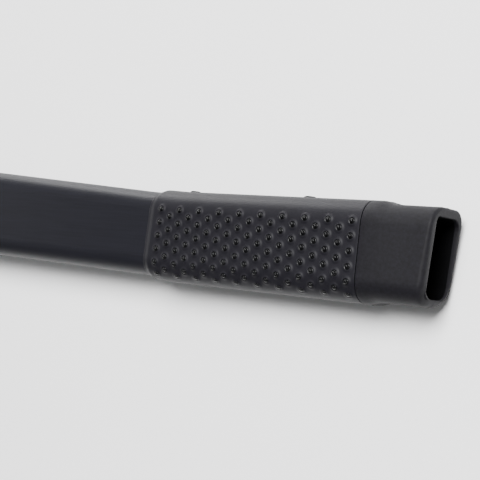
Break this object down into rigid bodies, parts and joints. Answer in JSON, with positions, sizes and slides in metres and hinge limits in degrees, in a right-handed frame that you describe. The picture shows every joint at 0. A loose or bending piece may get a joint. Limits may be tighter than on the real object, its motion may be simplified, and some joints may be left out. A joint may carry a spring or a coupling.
{
  "type": "ice axe",
  "caption": "Bent-shaft technical ice axe with an open, hollow lower end, dimpled rubber grip sleeve, slotted head, toothed drooped pick and spreading adze.",
  "frame": {"origin": "centre of the open lower end of the ferrule, in the plane of the swing", "axes": "+X up the grip towards the head, +Y the way the pick points, +Z out of the axe's side, which lies flat on a table"},
  "size_m": [0.4831, 0.2377, 0.0428],
  "materials": {
    "shaft": "satin black anodised",
    "grip": "moulded matt black rubber, dimpled",
    "ferrule": "spark-eroded black nylon",
    "foam": "closed-cell foam",
    "head": "dark grey bead-blasted and anodised forging",
    "collar": "moulded black elastomer",
    "blades": "ground and tumbled alloy steel",
    "spacers": "bright rolled sheet",
    "fasteners": "zinc-plated steel"
  },
  "bodies": {
    "root": {"shaft_tube": "shaft", "grip_sleeve": "grip", "end_ferrule": "ferrule", "ferrule_rivet_left": "fasteners", "ferrule_rivet_right": "fasteners", "snow_plug": "foam", "head_body": "head", "head_rivet_lower": "fasteners", "head_rivet_upper": "fasteners", "head_collar": "collar", "pick": "blades", "adze": "blades", "pick_spacer_left": "spacers", "pick_spacer_right": "spacers", "pick_bolt": "fasteners", "pick_washer": "fasteners", "pick_nut": "fasteners", "adze_bolt": "fasteners", "adze_washer": "fasteners", "adze_nut": "fasteners"}
  },
  "joints": []
}
